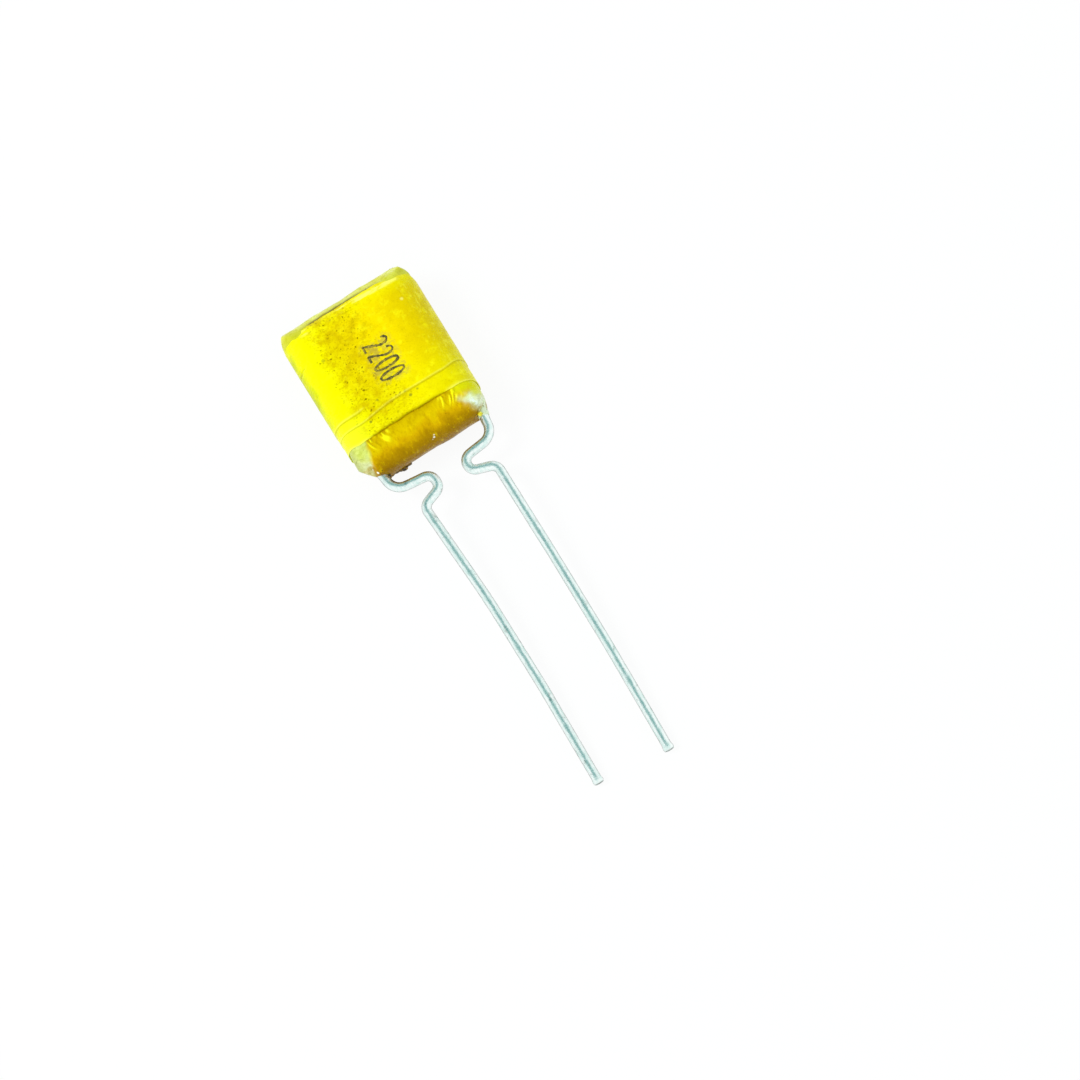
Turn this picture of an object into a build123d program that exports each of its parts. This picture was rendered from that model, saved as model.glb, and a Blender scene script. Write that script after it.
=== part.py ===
from build123d import *
import math
import os

# Wrapped-and-filled paper capacitor with two radial leads.
# It lies on its back, +Z up, with its lead end towards -Y and its width along X.
# The origin is the middle of the flat back. All sizes are in millimetres.

# Body, over the outer turn of the film wrap
body_width = 9.7
body_height = 12.4
body_thickness = 3.9
side_radius = 1.6  # rounding of the long edges, seen from the lead end
top_corner_radius = 1.2  # corners of the front outline away from the leads
lead_corner_radius = 1.7  # corners of the front outline beside the leads

# Film wrap: turns of tape whose edges are staggered at the lead end
film_wall = 0.15
film_turn = 0.05  # one turn, which stops short of those under it
inner_turn_setback = 1.96  # from the lead end of the fill to the edge of the inner turns
outer_turn_setback = 3.41  # and to the edge of the outer turn
film_curl = 27.0  # degrees that the far edge folds over the rounded top

# Wound element, its sprayed metal ends, and the fill that holds them
fill_skin = 0.1  # fill between the winding and the film
element_shift = 0.22  # the winding sits off centre in its wrap
spray_wall = 0.25
spray_margin = 0.1  # the sprayed end is this much smaller all round
side_clearance = 0.16  # fill between a solder joint and the film
pour_line = 0.0  # where the first pour of fill ends and the second begins

# Solder joints, each a cap on a sprayed end that covers the lead
solder_setback = 2.15  # from the lead end of the fill to the middle of the joint
solder_radius = 1.3
solder_cover = 0.12  # solder over the lead's outer side
solder_film = 0.05  # solder between the lead and the sprayed end
lead_above_solder = 0.2  # end of the lead that stands out of the solder

# Leads, which all run from the solder out of the body, round an inward hairpin, and straight on
wire_diameter = 0.65
pitch = 5.0  # between the straight stretches of the leads
pitch_shift = 0.6  # their middle, off the middle of the body
tilt_setback = 0.85  # the leads are level up to here inside the body, and then slope down
lead_lean = 0.25  # from there to where it turns inwards, a lead leans in by this much
cross_drop = 0.3  # fall of the run towards the hairpin
return_drop = 0.57  # fall of the run back from the hairpin
bow_near = 11.0  # from the end of the body to the near end of the slight bow
bow_far = 18.0  # and to its far end, past which the lead is straight
tilt_bend = 3.0
shoulder_bend = 1.05
hairpin_bend = 0.6
foot_bend = 0.65
bow_bend = 60.0

wire_radius = wire_diameter / 2
mid_z = body_thickness / 2
lead_end = film_wall - body_height / 2  # the fill's end, under where film would be
solder_height = solder_film + wire_diameter + solder_cover
end_room = element_shift + spray_wall + solder_height + side_clearance
element_length = body_width - 2 * (film_wall + end_room)
spray_face = element_length / 2 + spray_wall  # from the middle of the winding
exit_reach = spray_face + solder_film + wire_radius
solder_centre = lead_end + solder_setback


def front_outline(inset):
    """The body from the front: a rectangle whose two ends have their own corner radii."""
    outline = Rectangle(body_width - 2 * inset, body_height - 2 * inset)
    lead_corners = outline.vertices().group_by(Axis.Y)[0]
    outline = fillet(lead_corners, lead_corner_radius - inset)
    top_corners = outline.vertices().group_by(Axis.Y)[-1]
    return fillet(top_corners, top_corner_radius - inset)


def end_section(inset):
    """The body from its lead end: a rectangle with large corners."""
    width = body_width - 2 * inset
    thickness = body_thickness - 2 * inset
    return Plane.XZ * RectangleRounded(width, thickness, side_radius - inset)


def side_section(inset):
    """The body from the side: a flattened winding with fully round ends."""
    return Plane.YZ * SlotOverall(body_height - 2 * inset, body_thickness - 2 * inset)


def envelope(inset):
    """The body drawn in by inset: what is common to its three outlines."""
    front = extrude(front_outline(inset), body_thickness, both=True)
    end = extrude(end_section(inset), body_height, both=True)
    side = extrude(side_section(inset), body_width, both=True)
    return Pos(0, 0, mid_z) * (front & end & side)


def slab(low_y, high_y):
    """All of the body's width and thickness between two places along Y."""
    block = Box(2 * body_width, high_y - low_y, 2 * body_thickness)
    return Pos(0, (low_y + high_y) / 2, mid_z) * block


def make_film():
    """Tape wound round the body, with its outer turn stepped back at the lead end."""
    round_start = (body_height - body_thickness) / 2
    far_edge = round_start + mid_z * math.sin(math.radians(film_curl))
    inner_turns = envelope(film_turn) & slab(lead_end + inner_turn_setback, far_edge)
    outer_turn = envelope(0) & slab(lead_end + outer_turn_setback, far_edge)
    return inner_turns + outer_turn - envelope(film_wall)


def flat_winding(inset, low_x, high_x):
    """A length of the flattened winding, drawn in by inset, between two places along X."""
    prism = extrude(side_section(inset), (high_x - low_x) / 2, both=True)
    return Pos(element_shift + (low_x + high_x) / 2, 0, mid_z) * prism


def make_element():
    inset = film_wall + fill_skin
    return flat_winding(inset, -element_length / 2, element_length / 2)


def make_spray(side):
    inset = film_wall + fill_skin + spray_margin
    low_x, high_x = sorted((side * element_length / 2, side * spray_face))
    return flat_winding(inset, low_x, high_x)


def make_solder(side):
    """A cap of a sphere that stands on the sprayed end, before the lead is cut out of it."""
    ball_radius = (solder_radius**2 + solder_height**2) / (2 * solder_height)
    face_x = element_shift + side * spray_face
    ball_x = face_x + side * (solder_height - ball_radius)
    facing = Rot(0, 0, 90 + side * 90)  # the sphere's seam faces the winding
    ball = Pos(ball_x, solder_centre, mid_z) * facing * Sphere(ball_radius)
    reach = 4 * ball_radius
    outside = Pos(face_x + side * reach / 2, solder_centre, mid_z) * Box(reach, reach, reach)
    return ball & outside


def lead_path(route):
    """Straight runs and arcs. Outside the body they slope down until the tip lies on the floor."""
    tilt_start = lead_end + tilt_setback
    tip_y = route[-1][1]
    slope = (mid_z - wire_radius) / (tilt_start - tip_y)
    points = [(x, y, mid_z - max(0, tilt_start - y) * slope) for x, y in route]
    bends = [tilt_bend, shoulder_bend, hairpin_bend, hairpin_bend, foot_bend, bow_bend, bow_bend]
    return FilletPolyline(*points, radius=bends)


def make_lead(side, shoulder_gap, hairpin_height, hairpin_reach, foot_out, bow_out, tip_out, length):
    """A round wire, which turns inwards shoulder_gap past the body. Its places across are told from
    the line that the pitch gives it."""
    pitch_x = pitch_shift + side * pitch / 2
    exit_x = element_shift + side * exit_reach
    crown_x = pitch_x - side * hairpin_reach
    shoulder_y = lead_end - shoulder_gap
    crown_top = shoulder_y - cross_drop
    crown_foot = crown_top - hairpin_height
    route = [
        (exit_x, solder_centre + solder_radius + lead_above_solder),
        (exit_x, lead_end + tilt_setback),
        (exit_x - side * lead_lean, shoulder_y),
        (crown_x, crown_top),
        (crown_x, crown_foot),
        (pitch_x + side * foot_out, crown_foot - return_drop),
        (pitch_x + side * bow_out, lead_end - bow_near),
        (pitch_x, lead_end - bow_far),
        (pitch_x + side * tip_out, lead_end - length),
    ]
    path = lead_path(route)
    start = Plane(origin=path @ 0, z_dir=path % 0)
    return sweep(start * Circle(wire_radius), path)


def make_fill(held, low_y, high_y):
    """One pour of fill: what the film leaves round everything that is held in it."""
    return (envelope(film_wall) & slab(low_y, high_y)) - held


left_lead = make_lead(
    -1,
    shoulder_gap=1.27,
    hairpin_height=1.1,
    hairpin_reach=1.09,
    foot_out=0.42,
    bow_out=0.04,
    tip_out=0.15,
    length=25.75,
)
right_lead = make_lead(
    1,
    shoulder_gap=1.54,
    hairpin_height=1.0,
    hairpin_reach=1.65,
    foot_out=-0.02,
    bow_out=0.03,
    tip_out=-0.2,
    length=26.35,
)
pieces = {
    "film_wrap": make_film(),
    "wound_element": make_element(),
    "left_end_spray": make_spray(-1),
    "right_end_spray": make_spray(1),
    "left_solder_joint": make_solder(-1) - left_lead,
    "right_solder_joint": make_solder(1) - right_lead,
    "left_lead": left_lead,
    "right_lead": right_lead,
}
held = [shape for name, shape in pieces.items() if name != "film_wrap"]
pieces["lead_end_fill"] = make_fill(held, -body_height, pour_line)
pieces["top_end_fill"] = make_fill(held, pour_line, body_height)

os.makedirs("parts", exist_ok=True)
for name, shape in pieces.items():
    export_step(shape, f"parts/{name}.step")
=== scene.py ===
import math

import bpy
import numpy as np
from mathutils import Matrix, Vector
from mathutils.bvhtree import BVHTree


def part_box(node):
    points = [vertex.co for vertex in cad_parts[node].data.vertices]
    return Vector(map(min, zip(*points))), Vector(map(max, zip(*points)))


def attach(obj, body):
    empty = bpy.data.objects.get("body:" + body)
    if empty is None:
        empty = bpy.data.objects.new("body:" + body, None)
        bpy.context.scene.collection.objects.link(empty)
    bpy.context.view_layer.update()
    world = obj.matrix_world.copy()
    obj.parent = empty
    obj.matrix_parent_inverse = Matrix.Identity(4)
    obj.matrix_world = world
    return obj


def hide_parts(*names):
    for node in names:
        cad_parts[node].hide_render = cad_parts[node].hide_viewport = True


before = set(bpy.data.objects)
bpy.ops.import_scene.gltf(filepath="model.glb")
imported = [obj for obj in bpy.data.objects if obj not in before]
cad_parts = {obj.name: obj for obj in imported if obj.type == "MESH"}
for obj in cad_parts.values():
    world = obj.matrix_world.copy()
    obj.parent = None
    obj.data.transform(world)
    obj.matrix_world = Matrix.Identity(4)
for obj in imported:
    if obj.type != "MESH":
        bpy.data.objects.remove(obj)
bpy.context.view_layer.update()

# Sizes below are in millimetres, in the frame's axes: X across the body, -Y along the leads, Z up.
MM = 0.001


def node_box(name):
    """A CAD node's lowest and highest corners, in millimetres."""
    low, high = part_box(name)
    return np.array(low) / MM, np.array(high) / MM


FILM_LOW, FILM_HIGH = node_box("film_wrap")
LEAD_END = node_box("lead_end_fill")[0][1]
FAR_END = node_box("top_end_fill")[1][1]

# The body's outlines, as the CAD model draws them
FILM_WALL = 0.15
FILM_TURN = 0.05
HALF_WIDTH = FILM_HIGH[0]
HALF_DEPTH = FILM_HIGH[2] / 2
HALF_HEIGHT = FAR_END + FILM_WALL
ROUND_START = HALF_HEIGHT - HALF_DEPTH
SIDE_RADIUS = 1.6
LEAD_CORNER = 1.7
TOP_CORNERS = (1.3, 1.75)  # left and right
OUTER_TURN_EDGE = LEAD_END + 3.41
SECOND_TURN_EDGE = OUTER_TURN_EDGE + 0.75
SECOND_TURN = 0.025

LEAN = math.radians(25)

LOOP_COUNT = 400  # points round the body

rng = np.random.default_rng(11)
LATTICE_SIZE = 32
LATTICE = rng.uniform(-1, 1, (LATTICE_SIZE,) * 3)


def ripple(points, scale, shift=0.0):
    """A smooth random field from -1 to 1, whose bumps are about scale across."""
    place = np.asarray(points, float) / scale + shift
    cell = np.floor(place).astype(int)
    part = place - cell
    part = part * part * (3 - 2 * part)
    total = 0.0
    for corner in np.ndindex(2, 2, 2):
        at = (cell + corner) % LATTICE_SIZE
        share = np.where(corner, part, 1 - part).prod(axis=-1)
        total = total + LATTICE[at[..., 0], at[..., 1], at[..., 2]] * share
    return total


def step(value, low, high):
    """0 below low, 1 above high, and smooth between."""
    share = np.clip((value - low) / (high - low), 0, 1)
    return share * share * (3 - 2 * share)


def hump(value, centre, width):
    """A bell of height 1 about centre."""
    return np.exp(-(((value - centre) / width) ** 2))


# ---------------------------------------------------------------- meshes


def mesh_piece(name, points, faces, material, replaced=()):
    """A named piece that rides on the body, from points in millimetres."""
    mesh = bpy.data.meshes.new(name)
    mesh.from_pydata((np.asarray(points) * MM).tolist(), [], faces)
    mesh.validate()
    mesh.update()
    mesh.polygons.foreach_set("use_smooth", [True] * len(mesh.polygons))
    mesh.materials.append(material)
    piece = bpy.data.objects.new(name, mesh)
    bpy.context.scene.collection.objects.link(piece)
    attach(piece, "root")
    if replaced:
        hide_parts(*replaced)
    return piece


def grid_faces(rows, columns, row_wrap=False):
    """Quads between neighbouring rows of points, each row a closed loop."""
    faces = []
    for row in range(rows if row_wrap else rows - 1):
        above = (row + 1) % rows
        for column in range(columns):
            beside = (column + 1) % columns
            faces.append((
                row * columns + column,
                row * columns + beside,
                above * columns + beside,
                above * columns + column,
            ))
    return faces


def relax(grid, rounds):
    """Rounds off creases in a grid of points without shrinking it. The first and last rows stay."""
    for share in (0.5, -0.52) * rounds:
        mean = (np.roll(grid, 1, 1) + np.roll(grid, -1, 1) + np.roll(grid, 1, 0) + np.roll(grid, -1, 0)) / 4
        mean[0], mean[-1] = grid[0], grid[-1]
        grid = grid + share * (mean - grid)
    return grid


def section_loop(inset):
    """x and z of a rounded rectangle, evenly spaced round it, about the body's middle."""
    radius = SIDE_RADIUS - inset
    flat_x = HALF_WIDTH - inset - radius
    flat_z = HALF_DEPTH - inset - radius
    quarter = radius * math.pi / 2
    sides = [2 * flat_z, quarter, 2 * flat_x, quarter] * 2
    ends = np.cumsum(sides)
    loop = []
    for place in np.arange(LOOP_COUNT) * ends[-1] / LOOP_COUNT:
        index = int(np.searchsorted(ends, place, side="right"))
        share = (place - ends[index] + sides[index]) / sides[index]
        turn = index // 2 * math.pi / 2  # each side and its corner turn by a right angle
        corner_x = flat_x if index // 2 in (0, 3) else -flat_x
        corner_z = flat_z if index // 2 in (0, 1) else -flat_z
        if index % 2:
            angle = turn + share * math.pi / 2
            loop.append((corner_x + radius * math.cos(angle), corner_z + radius * math.sin(angle)))
        else:
            back = (1 - share) * sides[index]
            loop.append((
                corner_x + radius * math.cos(turn) + back * math.sin(turn),
                corner_z + radius * math.sin(turn) - back * math.cos(turn),
            ))
    return np.array(loop)


def half_width(y, inset, right):
    """The body's reach to one side at y, which narrows at its corners."""
    radius = np.where(y < 0, LEAD_CORNER, TOP_CORNERS[right]) - inset
    into = np.clip(np.abs(y) - (HALF_HEIGHT - inset - radius), 0, radius)
    return HALF_WIDTH - inset - radius + np.sqrt(radius**2 - into**2)


def half_depth(y, inset):
    """Half the body's thickness at y, which is round at both ends."""
    radius = HALF_DEPTH - inset
    into = np.clip(np.abs(y) - ROUND_START, 0, radius)
    return np.sqrt(radius**2 - into**2)


def body_grid(rows_y, inset):
    """The body's surface drawn in by inset, one loop of points for each y."""
    loop = section_loop(inset)
    y = np.asarray(rows_y, float)[:, None]
    x = np.clip(loop[None, :, 0], -half_width(y, inset, 0), half_width(y, inset, 1))
    z = np.clip(loop[None, :, 1], -half_depth(y, inset), half_depth(y, inset))
    return np.stack([x, np.broadcast_to(y, x.shape), z + HALF_DEPTH], axis=-1)


def outward(grid):
    """Unit normals of a grid whose rows are closed loops."""
    across = np.roll(grid, -1, 1) - np.roll(grid, 1, 1)
    along = np.gradient(grid, axis=0)
    normal = np.cross(along, across)
    size = np.linalg.norm(normal, axis=-1, keepdims=True)
    normal = normal / np.maximum(size, 1e-9)
    middle = grid.mean(axis=1, keepdims=True)
    side = np.sign((normal * (grid - middle)).sum(axis=-1, keepdims=True))
    return normal * np.where(side == 0, 1, side)


def end_rows(sign, start, inset, gap):
    """Places along Y from start to the tip of a rounded end, about gap apart along its surface."""
    straight = np.linspace(start, sign * ROUND_START, max(2, int(abs(ROUND_START - abs(start)) / gap)))
    radius = HALF_DEPTH - inset
    angles = np.linspace(0, math.pi / 2, int(radius * math.pi / 2 / gap))[1:]
    return np.concatenate([straight, sign * (ROUND_START + radius * np.sin(angles))])


def end_fade(grid):
    """1 over most of a rounded end, and 0 at its last row, where front and back meet."""
    row = np.arange(len(grid))[:, None]
    return 1 - step(row, len(grid) - 12, len(grid) - 1)


def closed_end(grid):
    """The grid as points and faces: its last row is sewn together, and its first row is capped."""
    rows, columns = grid.shape[:2]
    points = grid.reshape(-1, 3).copy()
    faces = grid_faces(rows, columns)
    last = (rows - 1) * columns
    order = np.arange(columns)
    # A point of the last row and the one straight under it become one.
    xs = grid[-1, :, 0]
    front = [c for c in order if grid[-2, c, 2] >= HALF_DEPTH]
    back = [c for c in order if grid[-2, c, 2] < HALF_DEPTH]
    same = {}
    for c in back:
        nearest = min(front, key=lambda f: abs(xs[f] - xs[c]))
        same[last + c] = last + nearest
    sewn = []
    for face in faces:
        kept = []
        for corner in face:
            corner = same.get(corner, corner)
            if corner not in kept:
                kept.append(corner)
        if len(kept) > 2:
            sewn.append(tuple(kept))
    sewn.append(tuple(int(c) for c in order[::-1]))
    return points, sewn


# ---------------------------------------------------------------- materials


def linear(red, green, blue):
    """A colour given as it looks on a screen, 0 to 255, as a linear one."""
    found = []
    for value in (red, green, blue):
        value = value / 255
        found.append(value / 12.92 if value <= 0.04045 else ((value + 0.055) / 1.055) ** 2.4)
    return (*found, 1.0)


class Paint:
    """A material under construction, with short ways to add and join its nodes."""

    def __init__(self, name, roughness=0.4, metallic=0.0, specular=0.5, coat=0.0):
        self.material = bpy.data.materials.new(name)
        self.material.use_nodes = True
        self.tree = self.material.node_tree
        self.shader = self.tree.nodes["Principled BSDF"]
        self.shader.inputs["Roughness"].default_value = roughness
        self.shader.inputs["Metallic"].default_value = metallic
        self.shader.inputs["Specular IOR Level"].default_value = specular
        self.shader.inputs["Coat Weight"].default_value = coat
        place = self.tree.nodes.new("ShaderNodeTexCoord").outputs["Object"]
        self.place = self.vector("SCALE", place, scale=1 / MM)  # in millimetres
        parts = self.add("ShaderNodeSeparateXYZ", {0: self.place})
        self.x, self.y, self.z = parts.outputs[0], parts.outputs[1], parts.outputs[2]

    def add(self, kind, inputs, **settings):
        node = self.tree.nodes.new(kind)
        for key, value in settings.items():
            setattr(node, key, value)
        for key, value in inputs.items():
            if isinstance(value, bpy.types.NodeSocket):
                self.tree.links.new(value, node.inputs[key])
            else:
                node.inputs[key].default_value = value
        return node

    def vector(self, operation, first, second=None, scale=None):
        inputs = {0: first}
        if second is not None:
            inputs[1] = second
        if scale is not None:
            inputs["Scale"] = scale
        return self.add("ShaderNodeVectorMath", inputs, operation=operation).outputs[0]

    def math(self, operation, *values):
        return self.add("ShaderNodeMath", dict(enumerate(values)), operation=operation).outputs[0]

    def times(self, first, *others):
        """The product of several masks and shares."""
        for value in others:
            first = self.math("MULTIPLY", first, value)
        return first

    def noise(self, scale, detail=3.0, roughness=0.5, place=None):
        """A noise from 0 to 1 whose bumps are about 1 / scale millimetres across."""
        inputs = {"Vector": place or self.place, "Scale": scale, "Detail": detail, "Roughness": roughness}
        return self.add("ShaderNodeTexNoise", inputs).outputs["Fac"]

    def remap(self, value, low, high, to_low=0.0, to_high=1.0, smooth=True):
        kind = "SMOOTHSTEP" if smooth else "LINEAR"
        inputs = {"Value": value, "From Min": low, "From Max": high, "To Min": to_low, "To Max": to_high}
        return self.add("ShaderNodeMapRange", inputs, interpolation_type=kind).outputs["Result"]

    def window(self, value, start, full, still, end):
        """1 from full to still, falling to 0 at start and at end."""
        return self.times(self.remap(value, start, full), self.remap(value, end, still))

    def ramp(self, value, low, high, stops):
        """Colours at places along a value, with stops of (place, colour)."""
        share = self.remap(value, low, high, smooth=False)
        node = self.add("ShaderNodeValToRGB", {"Fac": share})
        elements = node.color_ramp.elements
        while len(elements) < len(stops):
            elements.new(0.5)
        for element, (place, colour) in zip(elements, stops):
            element.position = (place - low) / (high - low)
            element.color = colour
        return node.outputs["Color"]

    def mix(self, share, first, second, blend="MIX"):
        node = self.tree.nodes.new("ShaderNodeMix")
        node.data_type = "RGBA"
        node.blend_type = blend
        for key, value in (("Factor", share), ("A", first), ("B", second)):
            socket = next(s for s in node.inputs if s.name == key and s.enabled)
            if isinstance(value, bpy.types.NodeSocket):
                self.tree.links.new(value, socket)
            else:
                socket.default_value = value
        return next(s for s in node.outputs if s.enabled)

    def field(self, name):
        """A mask that the mesh carries."""
        return self.add("ShaderNodeAttribute", {}, attribute_name=name).outputs["Fac"]

    def spot(self, centre, radius, blur):
        """1 inside a round spot, 0 outside."""
        gap = self.add("ShaderNodeVectorMath", {0: self.place, 1: centre}, operation="DISTANCE")
        return self.remap(gap.outputs["Value"], radius + blur, radius)

    def bump(self, height, distance, strength=1.0):
        """Relief, with distance in millimetres."""
        inputs = {"Height": height, "Distance": distance * MM, "Strength": strength}
        normal = self.add("ShaderNodeBump", inputs)
        self.tree.links.new(normal.outputs["Normal"], self.shader.inputs["Normal"])

    def set(self, name, value):
        self.tree.links.new(value, self.shader.inputs[name])


def specks(paint, scale, share, low, high, place):
    """Small round specks, one in about share of the cells of a random pattern."""
    cells = paint.add("ShaderNodeTexVoronoi", {"Vector": place, "Scale": scale, "Randomness": 1.0})
    parts = paint.add("ShaderNodeSeparateColor", {0: cells.outputs["Color"]})
    chosen = paint.math("LESS_THAN", parts.outputs[0], share)
    size = paint.remap(parts.outputs[1], 0, 1, low, high, smooth=False)
    inside = paint.math("SUBTRACT", size, cells.outputs["Distance"])
    return paint.times(chosen, paint.remap(inside, 0.0, low))


def film_material():
    """Yellow tape: lemon at the left, more orange where it lies on the winding, with specks under it, and
    painted light and shade at its edges and steps.
    """
    paint = Paint("wrap_film", specular=0.14)
    paint.shader.inputs["Specular Tint"].default_value = GILT
    colour = film_wear(paint, film_tint_and_light(paint))
    colour = paint.mix(film_dirt(paint), colour, linear(112, 84, 0))
    colour = film_marks(paint, print_smudge(paint, colour))
    # Painted shade at the foot of each step, along the film's lower edge and in the crease
    colour = paint.mix(paint.times(paint.field("painted_shade_line"), 0.8), colour, linear(160, 140, 0))
    # Painted highlight on the top of each step and along the film's lower edge
    colour = paint.mix(paint.times(paint.field("rim_highlight"), 0.8), colour, linear(248, 250, 110))
    paint.set("Base Color", colour)
    paint.set("Roughness", paint.remap(paint.noise(2.5), 0.3, 0.7, 0.22, 0.42))
    relief = paint.math("ADD", paint.noise(2.2, detail=4.0), paint.times(paint.noise(11.0), 0.22))
    paint.bump(relief, 0.045)
    return paint.material


def film_tint_and_light(paint):
    """The film's colours across the body, lighter towards both ends: its own tint, with painted light
    brighter at the left and painted shade at the left outline.
    """
    wander = paint.remap(paint.noise(0.35), 0, 1, -1.0, 1.0, smooth=False)
    across = paint.math("ADD", paint.x, paint.times(wander, 0.5))
    # Partly the film's own tint and partly painted light: brighter towards the left, where light falls, and
    # painted shade in the first stops at the left outline
    stops = [
        (-4.85, linear(184, 194, 0)),
        (-4.6, linear(206, 212, 0)),
        (-4.3, linear(238, 242, 0)),
        (-4.0, linear(247, 249, 0)),
        (-3.1, linear(248, 244, 0)),
        (-2.2, linear(234, 217, 0)),
        (-1.2, linear(231, 206, 0)),
        (0.2, linear(244, 219, 0)),
        (1.6, linear(249, 223, 0)),
        (3.1, linear(229, 203, 0)),
        (4.2, linear(226, 203, 0)),
        (4.8, linear(223, 207, 0)),
    ]
    colour = paint.ramp(across, -4.85, 4.85, stops)
    colour = paint.mix(paint.times(paint.remap(paint.y, 0.5, -3.2), 0.45), colour, linear(240, 240, 0))
    return paint.mix(paint.times(paint.remap(paint.y, 3.6, 4.7), 0.5), colour, linear(246, 244, 0))


def film_wear(paint, colour):
    """Dull and bright clouds, fine flecks, painted threads of light at the right edge, and a painted
    highlight at the lower left.
    """
    stained = paint.times(paint.window(paint.x, -3.5, -2.5, -0.2, 1.6), 0.75)
    stained = paint.math("ADD", stained, 0.25)
    dull = paint.remap(paint.noise(1.3, detail=5.0, roughness=0.6), 0.44, 0.66)
    colour = paint.mix(paint.times(dull, 0.75, stained), colour, linear(206, 176, 0))
    shine = paint.remap(paint.noise(1.7, detail=5.0, roughness=0.6), 0.5, 0.72)
    colour = paint.mix(paint.times(shine, 0.5), colour, linear(255, 250, 20))
    fleck = paint.remap(paint.noise(6.5, detail=4.0, roughness=0.7), 0.46, 0.66)
    colour = paint.mix(paint.times(fleck, 0.55, stained), colour, linear(198, 172, 0))
    streak = paint.vector("MULTIPLY", paint.place, (3.0, 0.9, 1.0))
    thread = paint.remap(paint.noise(2.0, detail=4.0, roughness=0.6, place=streak), 0.52, 0.66)
    at_right = paint.remap(paint.x, 3.0, 4.4)
    colour = paint.mix(paint.times(thread, at_right, 0.5), colour, linear(252, 246, 60))
    # Painted highlight over the lower left of the front
    lower_left_highlight = paint.times(paint.remap(paint.x, -2.2, -3.8), paint.remap(paint.y, -1.4, -3.4))
    return paint.mix(paint.times(lower_left_highlight, 0.4), colour, linear(246, 254, 50))


def print_smudge(paint, colour):
    """Grey smudges of ink round the printed figures."""
    near_print = paint.window(paint.x, -0.9, -0.3, 1.3, 1.8)
    near_print = paint.times(near_print, paint.window(paint.y, -1.9, -1.3, 1.4, 2.0))
    smudge = paint.remap(paint.noise(2.4, detail=5.0, roughness=0.7), 0.44, 0.6)
    return paint.mix(paint.times(smudge, near_print, 0.55), colour, linear(172, 150, 70))


def film_marks(paint, colour):
    """The larger specks, and where light catches the film near its far edge."""
    top = FILM_HIGH[2]
    for x, y, radius, shade in DARK_SPECKS:
        mark = paint.spot((x, y, top), radius, 0.09)
        colour = paint.mix(paint.times(mark, shade), colour, linear(76, 84, 30))
    light_spot = paint.times(paint.spot((3.48, 3.16, top), 0.06, 0.12), 0.7)
    colour = paint.mix(light_spot, colour, linear(252, 244, 130))
    stretched = paint.vector("MULTIPLY", paint.place, (0.6, 2.6, 1.0))
    patch = paint.remap(paint.noise(1.1, detail=3.0, place=stretched), 0.47, 0.58)
    along = paint.window(paint.y, 4.45, 4.7, 4.9, 5.05)
    across = paint.window(paint.x, -3.6, -2.8, 3.6, 4.4)
    return paint.mix(paint.times(patch, along, across, 0.75), colour, linear(255, 253, 120))


def film_dirt(paint):
    """Brown specks, thick at the centre left and rare elsewhere."""
    thick = paint.times(paint.window(paint.x, -3.7, -2.6, -0.4, 1.0), paint.remap(paint.noise(0.8), 0.3, 0.5))
    where = paint.math("ADD", paint.times(thick, 0.82), 0.15)
    warp = paint.add("ShaderNodeTexNoise", {"Vector": paint.place, "Scale": 5.0, "Detail": 3.0})
    bent = paint.add("ShaderNodeVectorMath", {0: warp.outputs["Color"], "Scale": 0.3}, operation="SCALE")
    place = paint.vector("ADD", paint.place, bent.outputs[0])
    fine = paint.times(specks(paint, 3.4, 0.8, 0.13, 0.32, place), 0.8)
    coarse = paint.times(specks(paint, 1.5, 0.6, 0.08, 0.18, place), 0.9)
    faint = paint.times(specks(paint, 5.5, 0.5, 0.18, 0.45, place), 0.5)
    dirt = paint.math("MAXIMUM", paint.math("MAXIMUM", fine, coarse), faint)
    return paint.times(dirt, where)


GILT = (1.0, 0.93, 0.12, 1.0)  # what yellow resin and film reflect

# Larger specks on the front: x, y, radius, how dark
DARK_SPECKS = [
    (-2.39, -3.17, 0.07, 0.75),
    (0.71, -3.03, 0.07, 0.55),
    (1.29, -2.89, 0.05, 0.5),
    (-1.3, -2.12, 0.05, 0.4),
    (-2.95, 2.3, 0.09, 0.35),
    (0.52, -2.6, 0.04, 0.4),
]


WHITE_CHIP = linear(250, 252, 236)
BURNT = linear(70, 62, 24)

# Chips and burnt specks in the resin: place, radius, colour
RESIN_MARKS = [
    ((0.57, -5.9, 2.7), 0.05, WHITE_CHIP),
    ((0.64, -5.82, 2.84), 0.035, WHITE_CHIP),
    ((0.42, -5.93, 2.6), 0.02, WHITE_CHIP),
    ((-3.72, -5.93, 2.55), 0.06, WHITE_CHIP),
    ((-3.95, -5.62, 2.6), 0.05, WHITE_CHIP),
    ((-3.55, -6.0, 2.3), 0.05, BURNT),
    ((-3.4, -5.93, 2.6), 0.04, BURNT),
]


def resin_material():
    """Amber resin over the winding's round edge, pale where the sprayed ends and the solder show through."""
    paint = Paint("amber_resin", specular=0.12)
    paint.shader.inputs["Specular Tint"].default_value = GILT
    wander = paint.remap(paint.noise(1.0, detail=4.0, roughness=0.6), 0.25, 0.75, -0.4, 0.4, smooth=False)
    down = paint.math("ADD", paint.times(paint.field("down"), 5.0), wander)
    colour = resin_corners(paint, resin_tone_and_shade(paint, down), down)
    grit = specks(paint, 4.0, 0.16, 0.08, 0.22, paint.place)
    colour = paint.mix(paint.times(grit, 0.4), colour, linear(112, 80, 0))
    for place, radius, tone in RESIN_MARKS:
        colour = paint.mix(paint.spot(place, radius, 0.06), colour, tone)
    paint.set("Base Color", colour)
    paint.set("Roughness", paint.remap(paint.noise(3.0), 0.3, 0.7, 0.2, 0.42))
    relief = paint.math("ADD", paint.noise(3.0, detail=5.0), paint.times(paint.noise(13.0), 0.25))
    paint.bump(relief, 0.05)
    return paint.material


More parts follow.
